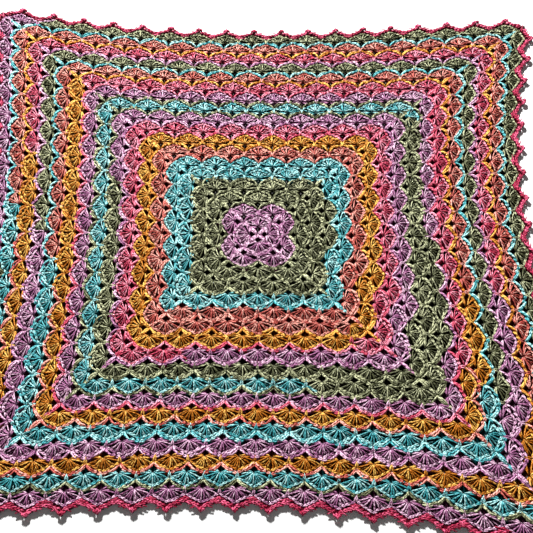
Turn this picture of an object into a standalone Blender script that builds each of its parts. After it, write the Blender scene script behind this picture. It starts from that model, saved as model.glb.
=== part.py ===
"""A square baby blanket crocheted in the round in shell stitch, laid flat, with a picot edging.

Metres, +Z up. The origin is under the middle of the box round the blanket, on the
surface it lies on.
+X runs to the right edge and +Y to the far edge.
"""
import bmesh
import bpy
from mathutils import Vector
from mathutils.geometry import delaunay_2d_cdt

# Driving sizes of the stitch pattern
PITCH = 0.050            # width of one shell of stitches along its round
ROUNDS = 18              # rounds of shells, counted from the middle outwards
RING_STEP = PITCH / 2    # each round starts half a shell further out
GAP = 0.0004             # clear seam between the last round and the edging, across a side

# One shell, across its round (u) and outwards from its round's joints (v)
TIP_V = 0.27 * PITCH     # crown of the fan
SHOULDER_U = 0.27 * PITCH
SHOULDER_V = 0.17 * PITCH
EYELET_APEX_V = -0.31 * PITCH   # the open triangle between the two legs that carry a shell
EYELET_MOUTH_V = -0.14 * PITCH
EYELET_HALF_WIDTH = 0.070 * PITCH

# Heights of the upper side above the surface, the yarn being about 3 mm thick
CROWN_Z = 0.0062
SHOULDER_Z = 0.0057
JOINT_Z = 0.0044
EYELET_Z = 0.0027

# The eyelets run through the cloth up to this round, every second one along each side
LAST_EYELET_ROUND = 17

# Edging: one row of short stitches, then a pointed picot over each shell's crown
EDGING_AT_JOINT = 0.20 * PITCH
EDGING_AT_SHOULDER = 0.29 * PITCH
EDGING_AT_PICOT = 0.40 * PITCH
PICOT_HALF_WIDTH = 0.085 * PITCH
PICOT_TOP_V = 0.53 * PITCH
EDGING_SHOULDER_U = 0.30 * PITCH
EDGING_INNER_Z = 0.0046
EDGING_RIDGE_Z = 0.0054
EDGING_OUTER_Z = 0.0030
PICOT_Z = 0.0036

# How unevenly the blanket lies: powers of the place east and north of the middle,
# as a share of REACH, and the shift east and north that the term gives at REACH
REACH = ROUNDS * RING_STEP
LAY = (
    # (east power, north power, shift east, shift north)
    (1, 0, -0.016, 0.001),
    (0, 1, -0.007, -0.010),
    (0, 2, 0.004, -0.008),
    (0, 3, 0.013, -0.005),
    (2, 1, -0.007, 0.044),
    (1, 2, 0.036, -0.006),
    (1, 3, 0.009, 0.009),
    (1, 4, -0.020, 0.005),
    (3, 2, 0.024, -0.015),
)

# Sides of the square: the way outwards, and the way along the side
SIDES = (
    (Vector((0, 1)), Vector((1, 0))),
    (Vector((1, 0)), Vector((0, -1))),
    (Vector((0, -1)), Vector((-1, 0))),
    (Vector((-1, 0)), Vector((0, 1))),
)

YARN_OLIVE = (0.19, 0.20, 0.10, 1.0)
YARN_PINK = (0.62, 0.06, 0.15, 1.0)


def clear_scene():
    """Start from an empty scene."""
    for thing in list(bpy.data.objects):
        bpy.data.objects.remove(thing, do_unlink=True)


def yarn_material(name, colour):
    """Matt yarn of one colour."""
    material = bpy.data.materials.new(name)
    material.use_nodes = True
    shader = material.node_tree.nodes["Principled BSDF"]
    shader.inputs["Base Color"].default_value = colour
    shader.inputs["Roughness"].default_value = 0.85
    shader.inputs["Metallic"].default_value = 0.0
    return material


def on_side(side, ring, u, v):
    """Point u along a side and v outside ring number ring, on the even pattern."""
    outwards, along = side
    return outwards * (ring * RING_STEP + v) + along * u


def shifted(point):
    """Where a point of the even pattern comes to lie in the uneven blanket."""
    east = point.x / REACH
    north = point.y / REACH
    shift = Vector((0.0, 0.0))
    for east_power, north_power, shift_east, shift_north in LAY:
        weight = east ** east_power * north ** north_power
        shift += weight * Vector((shift_east, shift_north))
    return point + shift


def shell_middles(ring):
    """Places of a round's shell middles along one side."""
    return [(number - (ring - 1) / 2) * PITCH for number in range(ring)]


class Plan:
    """Points of a sheet seen from above, each with its height, and the edges between them."""

    def __init__(self):
        self.points = []
        self.heights = []
        self.edges = []
        self.places = {}

    def add(self, point, height):
        key = (round(point.x * 1e6), round(point.y * 1e6))
        if key not in self.places:
            self.places[key] = len(self.points)
            self.points.append(point)
            self.heights.append(height)
        return self.places[key]

    def line(self, numbers):
        self.edges += list(zip(numbers, numbers[1:]))


def round_loop(numbers):
    """Edges of a closed loop of point numbers."""
    return list(zip(numbers, numbers[1:] + numbers[:1]))


def add_fan_rim(plan, side, ring, middle):
    """The high outer rim of one shell, from joint to joint over its crown."""
    half = PITCH / 2
    rim = (
        (-half, 0.0, JOINT_Z),
        (-SHOULDER_U, SHOULDER_V, SHOULDER_Z),
        (0.0, TIP_V, CROWN_Z),
        (SHOULDER_U, SHOULDER_V, SHOULDER_Z),
        (half, 0.0, JOINT_Z),
    )
    numbers = [plan.add(on_side(side, ring, middle + u, v), z) for u, v, z in rim]
    plan.line(numbers)
    return numbers


def add_eyelet(plan, side, ring, middle):
    """The open triangle at the foot of a shell; returns its three corners."""
    corners = (
        (0.0, EYELET_APEX_V),
        (-EYELET_HALF_WIDTH, EYELET_MOUTH_V),
        (EYELET_HALF_WIDTH, EYELET_MOUTH_V),
    )
    return [plan.add(on_side(side, ring, middle + u, v), EYELET_Z) for u, v in corners]


def blanket_plan():
    """Every round's shells on all four sides, with the eyelets and the outline."""
    plan = Plan()
    eyelets = []
    outline = []
    plan.add(Vector((0.0, 0.0)), JOINT_Z)
    for ring in range(1, ROUNDS + 1):
        for side in SIDES:
            for number, middle in enumerate(shell_middles(ring)):
                rim = add_fan_rim(plan, side, ring, middle)
                if ring == ROUNDS:
                    outline += rim[:-1]
                if ring <= LAST_EYELET_ROUND and number % 2 == 1:
                    eyelets.append(add_eyelet(plan, side, ring, middle))
                else:
                    plan.add(on_side(side, ring, middle, EYELET_MOUTH_V), EYELET_Z)
    return plan, eyelets, [outline]


def outside_round(side, u, v, further, at_corner):
    """Point further out than the last round; a corner's point lies outside both its sides."""
    spot = on_side(side, ROUNDS, u, v + further)
    return spot - side[1] * further if at_corner else spot


def edging_plan():
    """A ring of scallops round the last round, with a picot point over every crown."""
    plan = Plan()
    half = PITCH / 2
    inner_stops = ((-half, 0.0), (-SHOULDER_U, SHOULDER_V), (0.0, TIP_V), (SHOULDER_U, SHOULDER_V))
    outer_stops = (
        (-half, EDGING_AT_JOINT, EDGING_OUTER_Z),
        (-EDGING_SHOULDER_U, EDGING_AT_SHOULDER, EDGING_OUTER_Z),
        (-PICOT_HALF_WIDTH, EDGING_AT_PICOT, EDGING_OUTER_Z),
        (0.0, PICOT_TOP_V, PICOT_Z),
        (PICOT_HALF_WIDTH, EDGING_AT_PICOT, EDGING_OUTER_Z),
        (EDGING_SHOULDER_U, EDGING_AT_SHOULDER, EDGING_OUTER_Z),
    )
    inner = []
    outer = []
    ridge = []
    for side in SIDES:
        for number, middle in enumerate(shell_middles(ROUNDS)):
            for u, v in inner_stops:
                at_corner = number == 0 and u == -half
                spot = outside_round(side, middle + u, v, GAP, at_corner)
                inner.append(plan.add(spot, EDGING_INNER_Z))
                spot = outside_round(side, middle + u, v, EDGING_AT_JOINT / 2, at_corner)
                ridge.append(plan.add(spot, EDGING_RIDGE_Z))
            for u, v, z in outer_stops:
                at_corner = number == 0 and u == -half
                spot = outside_round(side, middle + u, 0.0, v, at_corner)
                outer.append(plan.add(spot, z))
    plan.edges += round_loop(ridge)
    return plan, [], [outer, inner]


def inside(point, loop):
    """Whether a point lies inside a closed loop of points."""
    crossings = 0
    for start, end in zip(loop, loop[1:] + loop[:1]):
        if (start.y > point.y) != (end.y > point.y):
            across = start.x + (point.y - start.y) * (end.x - start.x) / (end.y - start.y)
            crossings += across > point.x
    return crossings % 2 == 1


def triangles(points, edges, eyelets, outlines):
    """Triangulate points, leaving out the eyelets and all that the outlines don't hold."""
    rims = [edge for loop in outlines + eyelets for edge in round_loop(loop)]
    _, _, faces, origins, _, _ = delaunay_2d_cdt(points, edges + rims, [], 0, 1e-7, True)
    loops = [[points[number] for number in outline] for outline in outlines]
    open_faces = {frozenset(eyelet) for eyelet in eyelets}
    kept = []
    for face in faces:
        corners = [origins[number][0] for number in face]
        middle = sum((points[number] for number in corners), Vector((0.0, 0.0))) / 3
        held = sum(inside(middle, loop) for loop in loops) % 2 == 1
        if held and frozenset(corners) not in open_faces:
            kept.append(corners)
    return kept


def sheet_mesh(name, plan, eyelets, outlines, centre):
    """Closed sheet: raised upper side, straight walls at every edge, and a flat underside."""
    bm = bmesh.new()
    upper = []
    for point, height in zip(plan.points, plan.heights):
        spot = shifted(point) - centre
        upper.append(bm.verts.new((spot.x, spot.y, height)))
    for corners in triangles(plan.points, plan.edges, eyelets, outlines):
        bm.faces.new([upper[number] for number in corners])

    # Walls down to the surface from the outlines and from round each eyelet
    rims = [edge for edge in bm.edges if edge.is_boundary]
    walls = bmesh.ops.extrude_edge_only(bm, edges=rims)["geom"]
    number_of = {vert: number for number, vert in enumerate(upper)}
    foot_of = {}
    for foot in walls:
        if isinstance(foot, bmesh.types.BMVert):
            foot.co.z = 0.0
            above = [edge.other_vert(foot) for edge in foot.link_edges]
            foot_of.update({number_of[vert]: foot for vert in above if vert in number_of})

    # The underside joins the feet of the walls, flat on the surface
    below = sorted(foot_of)
    place_of = {number: place for place, number in enumerate(below)}
    points_below = [plan.points[number] for number in below]
    eyelets_below = [[place_of[number] for number in eyelet] for eyelet in eyelets]
    outlines_below = [[place_of[number] for number in outline] for outline in outlines]
    for corners in triangles(points_below, [], eyelets_below, outlines_below):
        bm.faces.new([foot_of[below[place]] for place in corners])

    bmesh.ops.triangulate(bm, faces=[face for face in bm.faces if len(face.verts) > 3])
    bmesh.ops.recalc_face_normals(bm, faces=bm.faces)
    mesh = bpy.data.meshes.new(name)
    bm.to_mesh(mesh)
    bm.free()
    return mesh


def make_piece(name, plan, eyelets, outlines, material):
    """One named object from its plan."""
    mesh = sheet_mesh(name, plan, eyelets, outlines, centre)
    mesh.materials.append(material)
    piece = bpy.data.objects.new(name, mesh)
    baby_blanket.objects.link(piece)
    return piece


def middle_of(plan):
    """Middle of the box round a plan as it lies."""
    laid = [shifted(point) for point in plan.points]
    east = [spot.x for spot in laid]
    north = [spot.y for spot in laid]
    return Vector(((min(east) + max(east)) / 2, (min(north) + max(north)) / 2))


clear_scene()
baby_blanket = bpy.data.collections.new("baby_blanket")
bpy.context.scene.collection.children.link(baby_blanket)

edging = edging_plan()
centre = middle_of(edging[0])
make_piece("shell_blanket", *blanket_plan(), yarn_material("shell_yarn", YARN_OLIVE))
make_piece("picot_edging", *edging, yarn_material("edging_yarn", YARN_PINK))
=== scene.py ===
# %% [markdown]
# A square baby blanket, crocheted from the middle outwards in a self-striping yarn.
# This notebook dresses the plain solids of the blanket. A crocheted cloth has no
# surface of its own: what shows is yarn, looped stitch over stitch, with dark gaps
# between the strands. So each kind of stitch is modelled once and then copied to its
# places round by round.

# %% Load the fixed frame
import math

import bpy
import numpy as np
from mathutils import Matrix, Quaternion, Vector


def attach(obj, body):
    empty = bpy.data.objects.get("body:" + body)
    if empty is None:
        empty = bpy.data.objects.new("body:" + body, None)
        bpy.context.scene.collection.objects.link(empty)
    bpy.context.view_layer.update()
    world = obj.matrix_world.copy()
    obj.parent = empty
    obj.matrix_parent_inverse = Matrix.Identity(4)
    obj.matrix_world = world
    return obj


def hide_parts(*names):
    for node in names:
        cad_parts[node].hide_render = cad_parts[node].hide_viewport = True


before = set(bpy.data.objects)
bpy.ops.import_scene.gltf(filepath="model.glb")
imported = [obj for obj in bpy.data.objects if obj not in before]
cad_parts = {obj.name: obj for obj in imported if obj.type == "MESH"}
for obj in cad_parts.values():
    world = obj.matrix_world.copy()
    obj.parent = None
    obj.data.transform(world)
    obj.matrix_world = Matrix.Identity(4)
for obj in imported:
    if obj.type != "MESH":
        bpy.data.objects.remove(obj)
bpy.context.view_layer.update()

# %% [markdown]
# The stitch pattern is a lattice. A round has as many shells on each side as its
# number, and starts half a shell further out than the round before, so each shell
# sits over the joint of two shells below it. The stitches could be placed one by one,
# but a lattice of named sizes, the same as those of the solids, keeps the two together.

# %% Sizes of the pattern
PITCH = 0.050            # width of one shell along its round, in metres
ROUNDS = 18
RING_STEP = PITCH / 2
REACH = ROUNDS * RING_STEP
MM = 0.001
YARN = 3.0 * MM          # thickness of the yarn where it lies loose

# Sides of the square: the way outwards, and the way along the side, clockwise
SIDES = {
    "top": ((0, 1), (1, 0)),
    "right": ((1, 0), (0, -1)),
    "bottom": ((0, -1), (-1, 0)),
    "left": ((-1, 0), (0, 1)),
}


def on_side(side, ring, u, v):
    """Even pattern point: u along a side, v outside the line of that ring's joints."""
    (out_x, out_y), (along_x, along_y) = SIDES[side]
    reach = ring * RING_STEP + v
    return out_x * reach + along_x * u, out_y * reach + along_y * u


def shell_middles(ring):
    """Places of a round's shell middles along one side."""
    return (np.arange(ring) - (ring - 1) / 2) * PITCH


print("shells:", sum(4 * ring for ring in range(1, ROUNDS + 1)))

# %% [markdown]
# A hand-made square never lies quite true. The solids are shifted by a short sum of
# powers, and the stitches have to follow the same shifts to lie on them. A lattice
# modifier could bend the finished mesh instead, but it couldn't match the solids
# exactly, so the shifts are worked out point by point.

# %% Lay of the blanket
LAY = (
    # (east power, north power, shift east, shift north)
    (1, 0, -0.016, 0.001),
    (0, 1, -0.007, -0.010),
    (0, 2, 0.004, -0.008),
    (0, 3, 0.013, -0.005),
    (2, 1, -0.007, 0.044),
    (1, 2, 0.036, -0.006),
    (1, 3, 0.009, 0.009),
    (1, 4, -0.020, 0.005),
    (3, 2, 0.024, -0.015),
)
PICOT_TOP_V = 0.53 * PITCH  # how far the solid picots reach beyond the last joints


def shifted(x, y):
    """Where points of the even pattern come to lie, before the origin is set."""
    east, north = x / REACH, y / REACH
    shift_x = sum(to_east * east ** i * north ** j for i, j, to_east, _ in LAY)
    shift_y = sum(to_north * east ** i * north ** j for i, j, _, to_north in LAY)
    return x + shift_x, y + shift_y


def middle_of_box():
    """Middle of the box round the picot points and the corners, as the blanket lies."""
    spots = []
    for side in SIDES:
        picots = on_side(side, ROUNDS, shell_middles(ROUNDS), PICOT_TOP_V)
        spots += list(zip(*picots))
    east, north = shifted(*np.array(spots).T)
    return (east.min() + east.max()) / 2, (north.min() + north.max()) / 2


MIDDLE = middle_of_box()


def laid(x, y):
    """Where points of the even pattern lie in the finished blanket."""
    east, north = shifted(x, y)
    return east - MIDDLE[0], north - MIDDLE[1]


print("middle of the pattern's box:", [round(value, 5) for value in MIDDLE])

# %% [markdown]
# The yarn changes colour by itself along its length, so a change falls anywhere in a
# round, wherever the yarn runs out of one colour. A crocheter works each round the same
# way: up the right side, along the top, down the left side, along the bottom, and up
# the last stitches of the right side. The chart names, for each round, the yarn it
# starts with and where along the way the next one begins. A picture laid over the
# blanket could colour it too, but a colour has to change between two stitches and
# never across one, and a chart is what a crocheter would keep.

# %% Chart of the yarns
# Places are counted in shells from the middle: north on the left and right sides,
# east on the top and bottom. The rows go from the middle outwards.
SHELL_CHART = (
    # (yarn at the start, changes: (side, place, yarn))
    ("purple", ()),
    ("purple", ()),
    ("olive", ()),
    ("olive", ()),
    ("olive", (("right", 1.5, "turquoise"),)),
    ("turquoise", (("bottom", -2.9, "coral"),)),
    ("coral", (("bottom", 3.0, "gold"),)),
    ("gold", (("bottom", 3.2, "pink"),)),
    ("pink", (("bottom", -2.2, "purple"),)),
    ("purple", (("left", 2.2, "olive"),)),
    ("olive", (("right", 5.0, "turquoise"), ("bottom", 1.9, "olive"))),
    ("olive", (("right", -0.1, "purple"),)),
    ("pink", (("left", 6.4, "gold"),)),
    ("gold", (("right", -2.0, "coral"), ("left", -1.0, "turquoise"))),
    ("olive", (("left", 0.0, "purple"),)),
    ("purple", (("right", -2.0, "pink"), ("left", 3.0, "gold"))),
    ("coral", (("left", 1.0, "turquoise"),)),
    ("olive", (("top", -7.6, "purple"),)),
)
# A round of chains follows each round of shells but the last
CHAIN_CHART = (
    ("purple", ()),
    ("olive", ()),
    ("olive", ()),
    ("olive", ()),
    ("turquoise", ()),
    ("coral", ()),
    ("gold", ()),
    ("pink", ()),
    ("purple", ()),
    ("olive", ()),
    ("olive", ()),
    ("purple", (("right", -1.0, "pink"),)),
    ("gold", (("left", -2.0, "coral"),)),
    ("turquoise", ()),
    ("purple", ()),
    ("gold", (("left", 0.0, "coral"),)),
    ("turquoise", (("left", -1.0, "olive"),)),
)
YARN_NAMES = ("purple", "olive", "turquoise", "coral", "gold", "pink", "crimson")
WORKED_SIDES = ("right", "top", "left", "bottom")
START = 2                # shells above the near right corner where each round starts


def way_worked(side, ring, u):
    """How far along its round a stitch is worked, in shells; u is in metres along the side."""
    half = ring / 2
    way = WORKED_SIDES.index(side) * 2 * half + half - np.asarray(u) / PITCH
    last_stitches = (side == "right") & (way < START)
    return way + np.where(last_stitches, 8 * half, 0.0)


def yarns_along(chart, ring, side, u):
    """Number of the yarn at each place u along a side of a round."""
    first, changes = chart[ring - 1]
    way = way_worked(side, ring, u)
    yarn = np.full(way.shape, YARN_NAMES.index(first))
    for change_side, place, name in changes:
        clockwise = -place if change_side in ("right", "bottom") else place
        change_way = way_worked(change_side, ring, clockwise * PITCH)
        yarn[way >= change_way] = YARN_NAMES.index(name)
    return yarn


print("round 5, right side:", yarns_along(SHELL_CHART, 5, "right", shell_middles(5)))

# %% [markdown]
# A material is a net of small nodes. Adding and linking them takes the same few lines
# each time, so four helpers do it: one adds a node, one mixes two colours, one does a
# sum, and one maps a value from a range to another. A colour is given as on a paint
# chart and turned into the linear light that the shader reckons with.

# %% Shader helpers


def linear(red, green, blue):
    """Shader colour from the red, green and blue of a paint chart, 0 to 255."""
    parts = [value / 255 for value in (red, green, blue)]
    return [p / 12.92 if p < 0.04045 else ((p + 0.055) / 1.055) ** 2.4 for p in parts] + [1.0]


def set_input(tree, socket, value):
    """Give a socket a plain value, or link it where the value is another socket."""
    if isinstance(value, bpy.types.NodeSocket):
        tree.links.new(value, socket)
    else:
        socket.default_value = value


def add_node(tree, kind, **values):
    """A shader node with the given input values, by the names of its sockets."""
    made = tree.nodes.new(kind)
    for name, value in values.items():
        set_input(tree, made.inputs[name], value)
    return made


def mix_colours(tree, share, colour_a, colour_b):
    """Mix two colours by a share; each is a value or a socket."""
    mix = tree.nodes.new("ShaderNodeMix")
    mix.data_type = "RGBA"
    for socket, value in ((0, share), (6, colour_a), (7, colour_b)):
        set_input(tree, mix.inputs[socket], value)
    return mix.outputs[2]


def calculate(tree, operation, *values):
    """One sum in the shader."""
    made = tree.nodes.new("ShaderNodeMath")
    made.operation = operation
    for socket, value in zip(made.inputs, values):
        set_input(tree, socket, value)
    return made.outputs[0]


def ramp(tree, value, low, high, to_low, to_high):
    """Map a value from one range to another, held at both ends."""
    made = tree.nodes.new("ShaderNodeMapRange")
    names = ("Value", "From Min", "From Max", "To Min", "To Max")
    for name, number in zip(names, (value, low, high, to_low, to_high)):
        set_input(tree, made.inputs[name], number)
    return made.outputs["Result"]


print("middle grey in linear light:", round(linear(128, 128, 128)[0], 3))

# %% [markdown]
# Yarn is matt and hairy. Three things make it read as yarn and not as plastic: the
# plies that wind round it, the loose fibres with painted highlights where they would
# catch the light, and painted shade between strands, where the dye is darkened almost
# to black. The plies follow the strand, so they read its own UV map, which runs round it
# and along it, and their grooves are painted darker as shade. The fibres are a fine
# noise, and a coarser one breaks each strand into pale painted highlights and darker
# flecks of random tone. The painted shade grows darker towards the surface that the
# blanket lies on. The plies could be modelled, but thousands of strands would then need
# many times the faces, so they are a bump.

# %% Yarn material
PLIES = 2
PLY_HEIGHT = 0.6 * MM
PLY_STRENGTH = 0.8
FIBRE_RELIEF = 0.5       # of the height of a ply
# Noises: (size, detail, roughness)
FIBRE_NOISE = (0.45 * MM, 3.0, 0.7)
FLECK_NOISE = (2.6 * MM, 1.0, 0.5)
DRIFT_NOISE = (25.0 * MM, 2.0, 0.5)  # the dye comes out stronger or weaker over this length
ROUGHNESS = 0.42
SHEEN_ROUGHNESS = 0.4
DEEPEST_PAINTED_SHADE = 0.22           # share of the darker tone that is left in the deepest painted shade
SHADE_LOW = 3.2 * MM     # below this height the yarn is painted all in shade
SHADE_HIGH = 6.0 * MM    # above it no shade is painted on the yarn

# Ramps: (from, to) of the value read, then the share of the second colour at each
# Painted highlights: pale flecks on the strands marked for them
PAINTED_HIGHLIGHT_FLECKS = (0.42, 0.57, 0.15, 1.7)
DARK_FLECKS = (0.34, 0.46, 0.8, 0.0)
DYE_DRIFT = (0.3, 0.7, 0.08, 0.42)
# Painted shade in the grooves between the plies
PLY_GROOVE_PAINTED_SHADE = (0.0, 0.6, 0.85, 0.0)
# Painted shade, darker towards the surface that the blanket lies on
PAINTED_SHADE_BY_HEIGHT = (SHADE_LOW, SHADE_HIGH, 0.97, 0.0)


def yarn_material(name, colour, dark_tone_and_shade, pale, gloss=1.0, sheen=0.1):
    """Plied yarn: its own colour, a darker tone for random flecks and painted shade, and a pale tone for
    painted highlights.
    """
    material = bpy.data.materials.new(name)
    material.use_nodes = True
    tree = material.node_tree
    shader = tree.nodes["Principled BSDF"]
    shader.inputs["Roughness"].default_value = ROUGHNESS
    shader.inputs["Specular IOR Level"].default_value = gloss
    shader.inputs["Specular Tint"].default_value = pale
    shader.inputs["Sheen Weight"].default_value = sheen
    shader.inputs["Sheen Tint"].default_value = pale
    shader.inputs["Sheen Roughness"].default_value = SHEEN_ROUGHNESS

    strand_uv = tree.nodes.new("ShaderNodeUVMap")
    strand_uv.uv_map = "strand"
    split = add_node(tree, "ShaderNodeSeparateXYZ", Vector=strand_uv.outputs["UV"])
    round_it = calculate(tree, "MULTIPLY", split.outputs["X"], PLIES)
    turns = calculate(tree, "ADD", round_it, split.outputs["Y"])
    ply = calculate(tree, "ABSOLUTE", calculate(tree, "SINE", calculate(tree, "MULTIPLY", turns, math.pi)))

    place = tree.nodes.new("ShaderNodeTexCoord").outputs["Object"]
    height = add_node(tree, "ShaderNodeSeparateXYZ", Vector=place).outputs["Z"]
    fibres, drift, flecks = (
        add_node(tree, "ShaderNodeTexNoise", Vector=place, Scale=1 / size, Detail=detail, Roughness=rough)
        for size, detail, rough in (FIBRE_NOISE, DRIFT_NOISE, FLECK_NOISE)
    )
    flecks = flecks.outputs["Fac"]

    # Painted highlights: each strand carries how strongly it is painted pale, in flecks
    painted_highlight = tree.nodes.new("ShaderNodeAttribute")
    painted_highlight.attribute_name = "painted_highlight"
    painted_highlight_share = calculate(tree, "MULTIPLY", painted_highlight.outputs["Fac"], ramp(tree, flecks, *PAINTED_HIGHLIGHT_FLECKS))
    painted_highlight_share = calculate(tree, "MINIMUM", painted_highlight_share, 1.0)
    # The colour of the deepest painted shade
    painted_deepest_colour = [part * DEEPEST_PAINTED_SHADE for part in dark_tone_and_shade[:3]] + [1.0]
    body = mix_colours(tree, ramp(tree, drift.outputs["Fac"], *DYE_DRIFT), colour, dark_tone_and_shade)
    body = mix_colours(tree, painted_highlight_share, body, pale)
    body = mix_colours(tree, ramp(tree, flecks, *DARK_FLECKS), body, dark_tone_and_shade)
    # Painted shade in the ply grooves
    body = mix_colours(tree, ramp(tree, ply, *PLY_GROOVE_PAINTED_SHADE), body, dark_tone_and_shade)
    # Painted shade by height
    body = mix_colours(tree, ramp(tree, height, *PAINTED_SHADE_BY_HEIGHT), body, painted_deepest_colour)
    tree.links.new(body, shader.inputs["Base Color"])

    fibre_relief = calculate(tree, "MULTIPLY", fibres.outputs["Fac"], FIBRE_RELIEF)
    relief = calculate(tree, "ADD", ply, fibre_relief)
    bump = add_node(tree, "ShaderNodeBump", Strength=PLY_STRENGTH, Distance=PLY_HEIGHT, Height=relief)
    tree.links.new(bump.outputs["Normal"], shader.inputs["Normal"])
    return material


# %% [markdown]
# Six yarns make the rounds and a seventh the edging. Each needs three colours: the dye,
# a darker tone of it for random flecks and for painted shade, and a pale tone for
# painted highlights, which also tints the gloss. One material could read its colour from
# the mesh, but a material for each yarn is easier to find and change. The backs of the
# stitches have one of their own, painted all over in the darker tone as shade.

# %% The seven yarns
YARNS = {
    # name: (colour, darker tone for random flecks and painted shade, pale tone for painted highlights and
    # gloss)
    "purple": ((174, 94, 152), (90, 38, 66), (242, 204, 226)),
    "olive": ((58, 62, 26), (24, 24, 8), (204, 206, 166)),
    "turquoise": ((22, 178, 188), (8, 80, 84), (196, 242, 240)),
    "coral": ((200, 66, 58), (104, 22, 20), (252, 188, 172)),
    "gold": ((206, 112, 4), (110, 44, 4), (255, 206, 106)),
    "pink": ((218, 38, 84), (116, 12, 36), (252, 174, 194)),
    # The edging's pink, set darker in part as painted shade
    "crimson": ((172, 24, 62), (80, 6, 22), (236, 108, 144)),
}
BACK_GLOSS = 0.1         # the backs of the stitches lie in the shade and hardly shine

yarn_materials = {
    name: yarn_material(name + "_yarn", *(linear(*tone) for tone in tones))
    for name, tones in YARNS.items()
}
# The backs take the darker tone in all three places, so they are painted all over as shade
painted_shade_backs = {
    name: yarn_material(name + "_backs", *[linear(*dark_tone_and_shade)] * 3, gloss=BACK_GLOSS, sheen=0.0)
    for name, (_, dark_tone_and_shade, _) in YARNS.items()
}
print("yarns:", list(yarn_materials))

# %% [markdown]
# Every stitch is a length of yarn, bent. It could be a curve with a bevel, but a
# cylinder bent by a Curve modifier keeps the cylinder's tidy UV map, which the plies
# need. The cylinder's long edges are subdivided, so that it has rings to bend at, and
# the path's own radius at each point makes the strand thick or thin there. Four sides
# are enough, because smooth shading rounds them and a strand is only 3 mm thick.

# %% A strand of yarn
PLY_TURN = 6.5 * MM      # length of yarn in which the plies wind once round
STRAND_SIDES = 4


def add_path(name, route):
    """A smooth curve through the points of a route, given as for make_strand."""
    bpy.ops.object.select_all(action="DESELECT")
    bpy.ops.curve.primitive_bezier_curve_add(radius=1.0)
    path = bpy.context.object
    path.name = name
    spline = path.data.splines[0]
    spline.bezier_points.add(len(route) - len(spline.bezier_points))
    for point, (x, y, z, thickness) in zip(spline.bezier_points, route):
        point.co = (x * MM, y * MM, z * MM)
        point.radius = thickness
        point.handle_left_type = point.handle_right_type = "AUTO"
    bpy.context.view_layer.update()
    return path, spline.calc_length()


def make_strand(name, route, rings):
    """Yarn bent along points (x, y, z in millimetres, thickness as a share of the yarn's)."""
    path, length = add_path(name + "_path", route)
    bpy.ops.object.select_all(action="DESELECT")
    bpy.ops.mesh.primitive_cylinder_add(
        vertices=STRAND_SIDES, radius=YARN / 2, depth=length,
        location=(length / 2, 0, 0), rotation=(0, math.pi / 2, 0),
    )
    strand = bpy.context.object
    strand.name = name
    bpy.ops.object.transform_apply(location=True, rotation=True, scale=True)
    bpy.ops.object.mode_set(mode="EDIT")
    bpy.ops.mesh.select_mode(type="EDGE")
    bpy.ops.mesh.select_all(action="DESELECT")
    bpy.ops.object.mode_set(mode="OBJECT")
    corner = strand.data.vertices
    for edge in strand.data.edges:
        start, end = (corner[number].co.x for number in edge.vertices)
        edge.select = abs(start - end) > length / 2
    bpy.ops.object.mode_set(mode="EDIT")
    bpy.ops.mesh.subdivide(number_cuts=rings - 1)
    bpy.ops.object.mode_set(mode="OBJECT")
    bend = strand.modifiers.new("bend", "CURVE")
    bend.object = path
    bend.deform_axis = "POS_X"
    bpy.ops.object.modifier_apply(modifier=bend.name)
    bpy.data.objects.remove(path)
    return strand, length


class Stitch:
    """The mesh of one modelled stitch, taken out of Blender so that it can be copied."""

    def __init__(self, strand, length):
        mesh = strand.data
        self.corners = np.array([vert.co for vert in mesh.vertices])
        self.sizes = np.array([face.loop_total for face in mesh.polygons])
        self.loops = np.array([loop.vertex_index for loop in mesh.loops])
        self.uv = np.array([spot.uv for spot in mesh.uv_layers[0].data])
        # A cylinder's sides take the upper half of its map, which is stretched to ply turns
        self.uv[:, 1] = (self.uv[:, 1] - 0.5) * 2 * length / PLY_TURN
        self.faces = len(self.sizes)
        bpy.data.objects.remove(strand)


print("thickness of the yarn in mm:", YARN / MM)

# %% [markdown]
# A shell is nine tall stitches, called posts, worked into one place, so that they
# fan out. Short wraps fill the widening gaps between them. Round the rim runs the
# chain that every crocheted stitch ends in: a row of links, each like a small
# arrowhead. At each joint a spike is drawn down over the rims below. Under the shell
# two legs spread from one joint and hold the open eyelet, and a chain runs on from
# them along the rims below. Sculpting a whole shell would give one solid lump, while
# single strands leave the gaps that make crochet look like crochet. Each stitch starts
# at the origin and runs along +Y, so it is easily turned to its place.

# %% Model each stitch once
POST_LENGTH = 21 * MM
WRAP_LENGTH = 6.4 * MM

POST = Stitch(*make_strand("post", (
    (0.0, 0.0, 0.0, 0.40),
    (0.3, 5.0, 0.9, 0.70),
    (-0.4, 12.0, 1.0, 0.85),
    (0.2, POST_LENGTH / MM, 0.6, 0.80),
), rings=4))

WRAP = Stitch(*make_strand("wrap", (
    (-0.3, 0.0, -0.8, 0.40),
    (0.3, 3.2, 0.4, 0.75),
    (-0.2, WRAP_LENGTH / MM, -0.2, 0.65),
), rings=3))

LINK = Stitch(*make_strand("link", (
    (-1.2, 0.0, -0.2, 0.60),
    (-1.3, 3.8, 0.6, 0.95),
    (0.0, 7.6, -0.2, 0.90),
    (1.3, 3.8, 0.6, 0.95),
    (1.2, 0.0, -0.2, 0.60),
), rings=4))

SPIKE = Stitch(*make_strand("spike", (
    (-2.2, 0.0, -0.8, 0.75),
    (-1.5, 5.0, 0.5, 1.15),
    (0.0, 13.0, 0.0, 0.65),
    (1.5, 5.0, 0.5, 1.15),
    (2.2, 0.0, -0.8, 0.75),
), rings=4))


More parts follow.
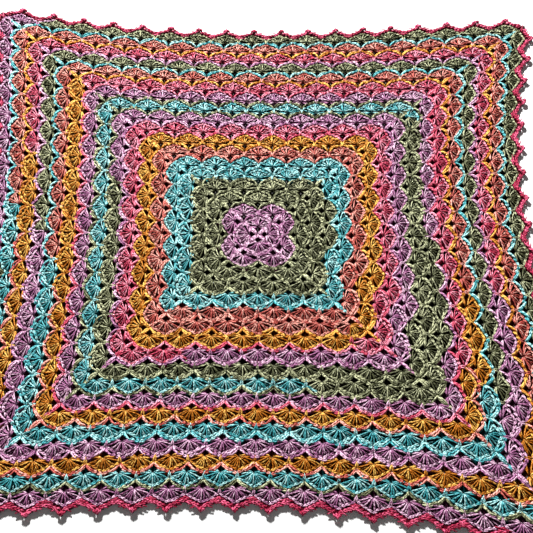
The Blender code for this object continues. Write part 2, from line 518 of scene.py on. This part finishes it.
def make_leg(way):
    """A leg that runs outwards and curves off to one side, -1 or 1."""
    return Stitch(*make_strand("leg", (
        (0.0, 0.0, -0.4, 0.95),
        (way * 3.8, 5.4, 0.6, 1.2),
        (way * 7.8, 9.6, 0.6, 1.2),
        (way * 13.0, 12.8, 0.0, 0.95),
    ), rings=4))


LEGS = {way: make_leg(way) for way in (-1, 1)}
print("faces in a post, a link and a leg:", POST.faces, LINK.faces, LEGS[1].faces)

# %% [markdown]
# A round has up to 72 shells of some forty strands. Copying them as objects would take
# minutes and give thousands of pieces, so the copies are made as arrays of numbers:
# turned, stretched, put in their places on the lattice and laid like the solids. Each
# copy differs a little, as handwork does. All strands of a round become one mesh.

# %% Copy stitches into a round
UNEVEN = {"turn": 4.5, "place": 0.45 * MM, "length": 0.05, "width": 0.12, "height": 0.30 * MM}
MOST_UNEVEN = 2          # times those, either way
LIT_SHARE = 0.45         # share of strands given a strong painted highlight
# Strength of the painted highlight on those strands and on the others
LIT = 0.9
DULL = 0.1
LIT_SPREAD = (0.6, 1.4)  # times either of those
LOWEST_Z = 0.3 * MM      # no strand goes nearer to the surface that the blanket lies on


class Gathered:
    """Strands gathered for one mesh; uneven is how much of the unevenness they have."""

    def __init__(self, seed, uneven=1.0, lit_share=LIT_SHARE):
        self.random = np.random.RandomState(seed)
        self.uneven = uneven
        self.lit_share = lit_share
        self.corners, self.loops, self.sizes, self.uv, self.yarn, self.painted_highlight = [], [], [], [], [], []
        self.count = 0

    def add(self, stitch, side, ring, u, v, turn, yarn,
            length=1.0, width=1.0, low=0.0, high=0.0, lit_share=None):
        """Copy a stitch to places u, v on a side; it rises from low to high along its length."""
        share = self.lit_share if lit_share is None else lit_share
        u, v, turn = (np.broadcast_to(np.asarray(value, float), (len(yarn),)) for value in (u, v, turn))
        copies = len(yarn)
        draw = self.random.normal(size=(6, copies)).clip(-MOST_UNEVEN, MOST_UNEVEN) * self.uneven
        angle = np.radians(turn + UNEVEN["turn"] * draw[0])[:, None]
        x = stitch.corners[:, 0] * (width * (1 + UNEVEN["width"] * draw[1]))[:, None]
        y = stitch.corners[:, 1] * (length * (1 + UNEVEN["length"] * draw[2]))[:, None]
        along = stitch.corners[:, 1] / stitch.corners[:, 1].max()
        z = low + (high - low) * along + stitch.corners[:, 2] * width
        z = z + UNEVEN["height"] * draw[3][:, None]
        place_u = u + UNEVEN["place"] * draw[4]
        place_v = v + UNEVEN["place"] * draw[5]
        out_u = place_u[:, None] + x * np.cos(angle) + y * np.sin(angle)
        out_v = place_v[:, None] - x * np.sin(angle) + y * np.cos(angle)
        east, north = laid(*on_side(side, ring, out_u, out_v))
        corners = np.stack([east, north, np.maximum(z, LOWEST_Z)], axis=-1)
        number = len(stitch.corners)
        starts = self.count + number * np.arange(copies)
        # Painted highlight strength of each copy
        painted_highlight = np.where(self.random.uniform(size=copies) < share, LIT, DULL * self.uneven)
        painted_highlight = painted_highlight * self.random.uniform(*LIT_SPREAD, copies)
        self.corners.append(corners.reshape(-1, 3))
        self.loops.append((stitch.loops[None, :] + starts[:, None]).ravel())
        self.sizes.append(np.tile(stitch.sizes, copies))
        self.uv.append(np.tile(stitch.uv, (copies, 1)))
        self.yarn.append(np.repeat(yarn, stitch.faces))
        self.painted_highlight.append(np.repeat(painted_highlight, number))
        self.count += number * copies

    def mesh(self, name, materials):
        """One mesh of all the gathered strands, with its UV map, yarns and painted highlight strengths."""
        corners, loops, sizes = (np.concatenate(part) for part in (self.corners, self.loops, self.sizes))
        mesh = bpy.data.meshes.new(name)
        mesh.vertices.add(len(corners))
        mesh.vertices.foreach_set("co", corners.ravel())
        mesh.loops.add(len(loops))
        mesh.loops.foreach_set("vertex_index", loops)
        mesh.polygons.add(len(sizes))
        mesh.polygons.foreach_set("loop_start", np.concatenate([[0], np.cumsum(sizes)[:-1]]))
        mesh.polygons.foreach_set("loop_total", sizes)
        mesh.update(calc_edges=True)
        mesh.polygons.foreach_set("use_smooth", np.ones(len(sizes), bool))
        strand_uv = mesh.uv_layers.new(name="strand")
        strand_uv.uv.foreach_set("vector", np.concatenate(self.uv).ravel())
        # Painted highlight strength of each point, read by the yarn material
        painted_highlight = mesh.attributes.new("painted_highlight", "FLOAT", "POINT")
        painted_highlight.data.foreach_set("value", np.concatenate(self.painted_highlight))
        yarn = np.concatenate(self.yarn)
        used = [number for number in range(len(YARN_NAMES)) if (yarn == number).any()]
        for number in used:
            mesh.materials.append(materials[YARN_NAMES[number]])
        slot_of = np.zeros(len(YARN_NAMES), int)
        slot_of[used] = np.arange(len(used))
        mesh.polygons.foreach_set("material_index", slot_of[yarn])
        mesh.validate()
        return mesh


def show_piece(name, mesh):
    """One object in the scene from a finished mesh."""
    piece = bpy.data.objects.new(name, mesh)
    bpy.context.scene.collection.objects.link(piece)
    return piece


print("unevenness of the copies:", UNEVEN)

# %% [markdown]
# Now the fan itself. The posts start close together at the shell's foot, which stands
# high over the eyelet, and fall to the rim, so the light catches them at the top. Seen
# from above the rim is two nearly straight lines that rise from the joints to a crown
# in the middle. Two stouter strands on each side close the fan towards the legs. The
# rim could be an arc, but worked tightly side by side, shells pull into diamonds.

# %% Fans
FOOT_V = -0.185 * PITCH
FOOT_Z = 8.6 * MM
FAN = 72                 # degrees from the shell's middle to its outermost post
POSTS = 9
POST_START = 0.035 * PITCH
POST_END = 0.030 * PITCH  # gap between a post and the line of the rim
POST_SIZE = {"width": 0.85, "high": 4.0 * MM}
POST_DIP = 0.9 * MM      # every second post starts this much lower
WRAP_START = 0.21 * PITCH
# The lit_share of a size is the share of its strands given a strong painted highlight
WRAP_SIZE = {"width": 0.8, "low": 4.4 * MM, "high": 3.4 * MM, "lit_share": 0.2}
BACK_POSTS = (
    # (degrees from the shell's middle, length) of the strands that close the fan to the legs
    (91, 0.35 * PITCH),
    (112, 0.23 * PITCH),
)
BACK_SIZE = {"width": 1.25, "low": FOOT_Z - 1.8 * MM, "high": 4.8 * MM}
RIM_LINKS = 8
RIM_CROWN = 0.425 * PITCH
RIM_SLOPE = 0.54
RIM_SIZE = {"length": 1.05, "width": 0.85, "low": 5.1 * MM, "high": 4.9 * MM, "lit_share": 0.75}


def rim_radius(degrees):
    """Distance from a shell's foot to its rim, which runs straight from joint to crown."""
    turn = math.radians(abs(degrees))
    return RIM_CROWN / (math.cos(turn) + RIM_SLOPE * math.sin(turn))


def fan_spot(middles, degrees, radius):
    """Places u, v at a distance from the feet of shells, some degrees off their middles."""
    turn = math.radians(degrees)
    return middles + radius * math.sin(turn), FOOT_V + radius * math.cos(turn)


def add_fans(gathered, side, ring):
    """The posts of one side of a round, the wraps between them and the strands beside them."""
    middles = shell_middles(ring)
    for number, degrees in enumerate(np.linspace(-FAN, FAN, POSTS)):
        u, v = fan_spot(middles, degrees, POST_START)
        start_z = FOOT_Z - number % 2 * POST_DIP
        stretch = (rim_radius(degrees) - POST_START - POST_END) / POST_LENGTH
        yarn = yarns_along(SHELL_CHART, ring, side, u)
        gathered.add(POST, side, ring, u, v, degrees, yarn, length=stretch, low=start_z, **POST_SIZE)
        if number > 0:
            between = degrees - FAN / (POSTS - 1)
            u, v = fan_spot(middles, between, WRAP_START)
            stretch = (rim_radius(between) - WRAP_START - POST_END) / WRAP_LENGTH
            gathered.add(WRAP, side, ring, u, v, between, yarn, length=stretch, **WRAP_SIZE)
    for way in (-1, 1):
        for degrees, length in BACK_POSTS:
            u, v = fan_spot(middles, way * degrees, POST_START)
            yarn = yarns_along(SHELL_CHART, ring, side, u)
            stretch = length / WRAP_LENGTH
            gathered.add(WRAP, side, ring, u, v, way * degrees, yarn, length=stretch, **BACK_SIZE)


def add_rims(gathered, side, ring):
    """The chain of links round each shell of one side of a round."""
    middles = shell_middles(ring)
    step = 2 * FAN / RIM_LINKS
    for number in range(RIM_LINKS):
        degrees = -FAN + number * step
        here, onwards = (fan_spot(0.0, spot, rim_radius(spot)) for spot in (degrees, degrees + step))
        turn = math.degrees(math.atan2(onwards[0] - here[0], onwards[1] - here[1]))
        yarn = yarns_along(SHELL_CHART, ring, side, middles + here[0])
        gathered.add(LINK, side, ring, middles + here[0], here[1], turn, yarn, **RIM_SIZE)


rim_reach = [round(rim_radius(degrees) / MM, 1) for degrees in (0, FAN)]
print("from foot to rim at the crown and at the last post, in mm:", rim_reach)

# %% [markdown]
# The spikes, legs and chains tie the rounds together. Each leg is two strands side by
# side, as a chain stitch is, and starts at a joint of the round below. The chain that
# goes on from it follows the lower rim, and at the four corners it runs out diagonally.
# They could be traced along the rims, but small tables of places and turns do as well
# for stitches that repeat, and are quick to adjust.

# %% Joints, legs and chains
JOINT_V = 0.02 * PITCH
JOINT_TURN = 180.0       # degrees: a spike points inwards
CORNER_TURN = 225.0      # and at a corner towards the middle of the blanket
JOINT_SIZE = {"length": 0.95, "width": 0.95, "low": 4.8 * MM, "high": 7.0 * MM, "lit_share": 0.85}
LEG_STRANDS = (
    # (u, v, degrees) at the start of each strand of a leg, in shares of the pitch, and its size
    (0.020, -0.50, 0.0, {"length": 1.0, "width": 1.0, "low": 5.2 * MM, "high": 6.6 * MM}),
    (0.016, -0.435, 2.0, {"length": 0.88, "width": 0.95, "low": 5.4 * MM, "high": 6.2 * MM}),
)
# Share of leg strands given a strong painted highlight
LEG_LIT_SHARE = 0.6
CHAIN = (
    # links of the chain beyond a leg: (u, v, degrees from outwards) at the start of each
    (0.240, -0.285, 62),
    (0.370, -0.215, 66),
)
CORNER_CHAIN = (
    (0.180, -0.300, 45),
    (0.285, -0.195, 45),
)
CHAIN_WIDTH = 1.05
CORNER_CHAIN_WIDTH = 0.8
CHAIN_SIZE = {"low": 6.4 * MM, "high": 5.8 * MM, "lit_share": 0.5}


def add_joints(gathered, side, ring):
    """The short stitch at each joint of a round, drawn down over the chain below it."""
    joints = shell_middles(ring) + PITCH / 2
    turn = np.where(np.arange(ring) == ring - 1, CORNER_TURN, JOINT_TURN)
    yarn = yarns_along(SHELL_CHART, ring, side, joints - PITCH / 4)
    gathered.add(SPIKE, side, ring, joints, JOINT_V, turn, yarn, **JOINT_SIZE)


def add_chains(gathered, side, ring):
    """The legs and chains that carry a round's shells, worked in the round before it."""
    middles = shell_middles(ring)
    for way, leg in LEGS.items():
        at_corner = np.arange(ring) == (ring - 1 if way > 0 else 0)
        yarn = yarns_along(CHAIN_CHART, max(ring - 1, 1), side, middles + way * PITCH / 4)
        for u, v, degrees, size in LEG_STRANDS:
            gathered.add(leg, side, ring, middles + way * u * PITCH, v * PITCH, way * degrees, yarn,
                         lit_share=LEG_LIT_SHARE, **size)
        along_rim = (~at_corner, CHAIN, CHAIN_WIDTH)
        round_corner = (at_corner, CORNER_CHAIN, CORNER_CHAIN_WIDTH)
        for chosen, links, width in (along_rim, round_corner):
            for u, v, degrees in links:
                gathered.add(LINK, side, ring, middles[chosen] + way * u * PITCH, v * PITCH,
                             way * degrees, yarn[chosen], width=width, **CHAIN_SIZE)


rounds = []
for ring in range(1, ROUNDS + 1):
    gathered = Gathered(seed=ring)
    for side in SIDES:
        add_chains(gathered, side, ring)
        add_fans(gathered, side, ring)
        add_rims(gathered, side, ring)
        add_joints(gathered, side, ring)
    rounds.append(show_piece(f"round_{ring:02d}", gathered.mesh(f"round_{ring:02d}", yarn_materials)))
print("strand faces:", sum(len(piece.data.polygons) for piece in rounds))

# %% [markdown]
# Behind the strands that show lie the backs of the stitches, which close the cloth.
# They are one thin sheet, painted in dark tones as shade, with every eyelet open. A
# plane with 684 holes cut by booleans would be slow and ragged, so one tile is modelled
# and repeated: a square grid stood on a corner, as wide as a shell. The lower corner's
# cell is inset and taken out for the eyelet, and the middle is raised under the fan.

# %% One tile of the ground
TILE_CELLS = 3
TILE_MOUTH_V = -0.09 * PITCH
EYELET_APEX_V = -0.26 * PITCH
EYELET_SIDE = (0.036 * PITCH, -0.21 * PITCH)
EYELET_MOUTH_V = -0.16 * PITCH
EYELET_INSET = 0.03 * PITCH
GROUND_EDGE_Z = 1.7 * MM
GROUND_CROWN_Z = 2.6 * MM
GROUND_FOOT_V = -0.12 * PITCH
GROUND_RISE = 1.6        # how steeply the ground rises from a tile's edge to its crown


def make_tile():
    """One tile of the ground, its lower corner at v = -PITCH / 2."""
    bpy.ops.object.select_all(action="DESELECT")
    bpy.ops.mesh.primitive_grid_add(
        x_subdivisions=TILE_CELLS, y_subdivisions=TILE_CELLS, size=PITCH / math.sqrt(2),
        rotation=(0, 0, math.pi / 4),
    )
    tile = bpy.context.object
    bpy.ops.object.transform_apply(location=True, rotation=True, scale=True)
    for vert in tile.data.vertices:
        way_in = (PITCH / 2 - abs(vert.co.x) - abs(vert.co.y)) / (PITCH / 2)
        under_fan = vert.co.y > GROUND_FOOT_V
        rise = min(1, GROUND_RISE * way_in) * under_fan
        vert.co.z = GROUND_EDGE_Z + (GROUND_CROWN_Z - GROUND_EDGE_Z) * rise
    lowest = min(tile.data.polygons, key=lambda face: face.center.y)
    for number in lowest.vertices:
        if tile.data.vertices[number].co.y > lowest.center.y + PITCH / 8:
            tile.data.vertices[number].co.y = TILE_MOUTH_V
    lowest = lowest.index
    bpy.ops.object.mode_set(mode="EDIT")
    bpy.ops.mesh.select_mode(type="FACE")
    bpy.ops.mesh.select_all(action="DESELECT")
    bpy.ops.object.mode_set(mode="OBJECT")
    tile.data.polygons[lowest].select = True
    bpy.ops.object.mode_set(mode="EDIT")
    bpy.ops.mesh.inset(thickness=EYELET_INSET)
    bpy.ops.object.mode_set(mode="OBJECT")
    rim = [vert for vert in tile.data.vertices if vert.select]
    for vert in rim:
        beside = abs(vert.co.x) > EYELET_SIDE[0] / 2
        if beside:
            vert.co.x, vert.co.y = math.copysign(EYELET_SIDE[0], vert.co.x), EYELET_SIDE[1]
        else:
            vert.co.y = EYELET_APEX_V if vert.co.y < EYELET_SIDE[1] else EYELET_MOUTH_V
    bpy.ops.object.mode_set(mode="EDIT")
    bpy.ops.mesh.delete(type="FACE")
    bpy.ops.object.mode_set(mode="OBJECT")
    return tile


tile = Stitch(make_tile(), 1.0)
print("faces in a tile:", tile.faces)

# %% [markdown]
# A tile lies under every shell, in the painted shade colour of that shell's yarn. Loose
# tiles would leave hairline gaps, so those that touch are merged, and only then does a
# Solidify modifier give the sheet its thickness. The other way round, each tile would
# keep inner walls.

# %% The ground of the cloth
GROUND_THICKNESS = 1.4 * MM
GROUND_MERGE = 0.05 * MM

ground_parts = Gathered(seed=0, uneven=0.0, lit_share=0.0)
for ring in range(1, ROUNDS + 1):
    for side in SIDES:
        middles = shell_middles(ring)
        yarn = yarns_along(SHELL_CHART, ring, side, middles)
        ground_parts.add(tile, side, ring, middles, 0.0, 0.0, yarn)
# The ground is painted all over in the darker tones, as shade
ground = show_piece("ground", ground_parts.mesh("ground", painted_shade_backs))
bpy.ops.object.select_all(action="DESELECT")
bpy.context.view_layer.objects.active = ground
ground.select_set(True)
bpy.ops.object.mode_set(mode="EDIT")
bpy.ops.mesh.select_all(action="SELECT")
bpy.ops.mesh.remove_doubles(threshold=GROUND_MERGE)
bpy.ops.object.mode_set(mode="OBJECT")
wall = ground.modifiers.new("thickness", "SOLIDIFY")
wall.thickness = GROUND_THICKNESS
wall.offset = -1.0
bpy.ops.object.modifier_apply(modifier=wall.name)
print("ground faces:", len(ground.data.polygons))

# %% [markdown]
# The edging is worked last, in one pink yarn, its colour set darker than that pink in part
# as painted shade: a row of short stitches over the last rim, a chain along its outer
# side and a small pointed picot over each crown. The strands alone would let the floor
# show through, and a new band under them would have to be fitted to the solid one, so a
# slightly flatter copy of that is their back, painted all over in the darker tone as shade.

# %% Backs of the edging
BAND_HEIGHT = 0.95       # of the solid edging
BAND_MERGE = 0.01 * MM


def make_band():
    """The backs of the edging's stitches: a flatter copy of the solid edging."""
    band_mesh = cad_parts["picot_edging"].data.copy()
    band = show_piece("edging_backs", band_mesh)
    bpy.ops.object.select_all(action="DESELECT")
    bpy.context.view_layer.objects.active = band
    band.select_set(True)
    bpy.ops.object.mode_set(mode="EDIT")
    bpy.ops.mesh.select_all(action="SELECT")
    bpy.ops.mesh.remove_doubles(threshold=BAND_MERGE)
    bpy.ops.transform.resize(value=(1, 1, BAND_HEIGHT), center_override=(0, 0, 0))
    bpy.ops.object.mode_set(mode="OBJECT")
    band.data.materials.clear()
    # The band is painted in the darker crimson tone, as shade
    band.data.materials.append(painted_shade_backs["crimson"])
    band.data.uv_layers.new(name="strand")
    return band


band = make_band()
print("faces in the backs of the edging:", len(band.data.polygons))

# %% [markdown]
# The strands of the edging are copies of the leg and of the link, because the hook
# makes the same loops here as in the rounds. Three small tables place them over one
# shell, and they are repeated over every shell of the last round.

# %% Strands of the edging
EDGE_STITCHES = (
    # (u, v, degrees) where each short stitch of the edging stands, beside a crown
    (0.07, 0.27, 8),
    (0.18, 0.235, 24),
    (0.28, 0.185, 34),
    (0.37, 0.11, 36),
    (0.45, 0.045, 20),
)
EDGE_CHAIN = (
    # (u, v, degrees) at the start of each link along the outer side, from joint to joint
    (-0.50, 0.190, 84),
    (-0.38, 0.210, 70),
    (-0.27, 0.260, 66),
    (-0.16, 0.320, 62),
    (0.07, 0.380, 116),
    (0.17, 0.325, 115),
    (0.28, 0.265, 110),
    (0.39, 0.215, 98),
)
PICOT = (
    # (u, v, degrees) at the start of each of the picot's three links
    (-0.060, 0.385, 12),
    (0.060, 0.385, -12),
    (0.0, 0.400, 0),
)
STITCH_SIZE = {"length": 0.60, "width": 0.75, "low": 5.8 * MM, "high": 5.4 * MM}
EDGE_CHAIN_SIZE = {"length": 1.05, "width": 1.3, "low": 5.8 * MM, "high": 5.8 * MM, "lit_share": 0.5}
PICOT_SIZE = {"length": 0.9, "width": 1.5, "low": 6.4 * MM, "high": 7.4 * MM, "lit_share": 0.4}
EDGE_SEED = 99
# Share of edging strands given a strong painted highlight
EDGE_LIT_SHARE = 0.25

edging_parts = Gathered(seed=EDGE_SEED, lit_share=EDGE_LIT_SHARE)
middles = shell_middles(ROUNDS)
crimson = np.full(len(middles), YARN_NAMES.index("crimson"))
for side in SIDES:
    for way in (-1, 1):
        for u, v, degrees in EDGE_STITCHES:
            edging_parts.add(LEGS[way], side, ROUNDS, middles + way * u * PITCH, v * PITCH,
                             way * degrees, crimson, **STITCH_SIZE)
    for links, size in ((EDGE_CHAIN, EDGE_CHAIN_SIZE), (PICOT, PICOT_SIZE)):
        for u, v, degrees in links:
            edging_parts.add(LINK, side, ROUNDS, middles + u * PITCH, v * PITCH, degrees, crimson, **size)
edging = show_piece("edging", edging_parts.mesh("edging", yarn_materials))
print("edging faces:", len(edging.data.polygons))

# %% [markdown]
# Each piece is fastened to the part's one body. The solids could stay under the yarn,
# but their plain relief would show between the strands, so they are hidden and the
# ground and the edging take their place.

# %% Fasten the pieces to the frame
for piece in rounds + [ground]:
    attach(piece, "root")
for piece in (edging, band):
    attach(piece, "root")
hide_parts("shell_blanket")
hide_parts("picot_edging")
triangles = sum(
    sum(face.loop_total - 2 for face in piece.data.polygons) for piece in rounds + [ground, edging, band]
)
print("triangles:", triangles)

# %% [markdown]
# The blanket lies on a pale floor. A sun lamp would light it evenly, but its hard
# shadows hide the strands, so the main light is a small soft square beyond the far
# edge, low enough to model the yarn. A large weak one fills the shadows from the front.

# %% Floor and light
FLOOR_SIZE = 12
FLOOR_COLOUR = (0.8, 0.8, 0.79, 1)
FLOOR_ROUGHNESS = 0.9
LAMPS = (
    # (name, place in metres, width of the lamp, power in watts)
    ("key", (-0.9, 3.0, 2.6), 0.48, 475),
    ("fill", (0.6, -1.8, 2.4), 2.0, 6),
)
SKY_STRENGTH = 0.095

bpy.ops.mesh.primitive_plane_add(size=FLOOR_SIZE, location=(0, 0, 0))
floor = bpy.context.object
floor.name = "floor"
floor_paint = bpy.data.materials.new("floor_paint")
floor_paint.use_nodes = True
floor_shader = floor_paint.node_tree.nodes["Principled BSDF"]
floor_shader.inputs["Base Color"].default_value = FLOOR_COLOUR
floor_shader.inputs["Roughness"].default_value = FLOOR_ROUGHNESS
floor.data.materials.append(floor_paint)

for name, spot, size, power in LAMPS:
    lamp_data = bpy.data.lights.new(name, "AREA")
    lamp_data.size = size
    lamp_data.energy = power
    lamp = bpy.data.objects.new(name, lamp_data)
    bpy.context.scene.collection.objects.link(lamp)
    lamp.location = spot
    to_blanket = -Vector(spot)
    lamp.rotation_euler = to_blanket.to_track_quat("-Z", "Y").to_euler()
world = bpy.data.worlds.new("studio")
bpy.context.scene.world = world
world.use_nodes = True
sky = world.node_tree.nodes["Background"]
sky.inputs["Color"].default_value = (1, 1, 1, 1)
sky.inputs["Strength"].default_value = SKY_STRENGTH
print("lamps:", [name for name, *_ in LAMPS])

# %% [markdown]
# The camera looks steeply down from the near side, and is turned and rolled a little,
# as one held by hand is. Its direction is worked out from three angles that a
# photographer could read off, and the roll is added last.

# %% Camera
CAMERA_SPOT = (0.0012, -0.887, 1.467)
CAMERA_DOWN = math.radians(59.94)
CAMERA_TURN = math.radians(0.87)
CAMERA_ROLL = math.radians(1.58)
CAMERA_LENS = 69.9       # millimetres, on a sensor of the width below
SENSOR_WIDTH = 36

camera = bpy.data.objects.new("camera", bpy.data.cameras.new("camera"))
bpy.context.scene.collection.objects.link(camera)
camera.data.sensor_width = SENSOR_WIDTH
camera.data.lens = CAMERA_LENS
camera.location = CAMERA_SPOT
ahead = Vector((
    math.sin(CAMERA_TURN) * math.cos(CAMERA_DOWN),
    math.cos(CAMERA_TURN) * math.cos(CAMERA_DOWN),
    -math.sin(CAMERA_DOWN),
))
camera.rotation_mode = "QUATERNION"
camera.rotation_quaternion = ahead.to_track_quat("-Z", "Y") @ Quaternion((0, 0, 1), CAMERA_ROLL)
bpy.context.scene.camera = camera
bpy.context.scene.view_settings.view_transform = "Standard"
print("camera looks along:", [round(part, 3) for part in ahead])
